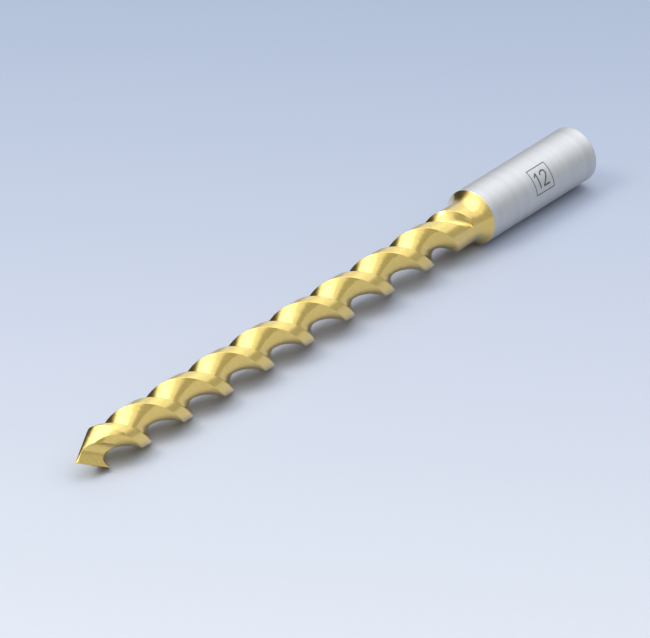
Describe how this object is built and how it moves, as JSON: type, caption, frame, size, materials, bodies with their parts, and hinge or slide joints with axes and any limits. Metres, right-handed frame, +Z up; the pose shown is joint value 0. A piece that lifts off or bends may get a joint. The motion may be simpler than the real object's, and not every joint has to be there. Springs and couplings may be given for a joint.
{
  "type": "twist drill",
  "caption": "Long twist drill with a sharp point, deep right-hand spiral flutes, a short neck and a thicker plain cylindrical shank.",
  "frame": {"origin": "middle of the bounding box at floor level, with the drill lying down", "axes": "+X from the point towards the shank end, level with the floor; +Z up; the drill's own axis rises 0.7 degrees towards the shank"},
  "size_m": [0.222, 0.016, 0.0166],
  "materials": {
    "drill_steel": "satin"
  },
  "bodies": {
    "root": {"twist_drill": "drill_steel"}
  },
  "joints": []
}
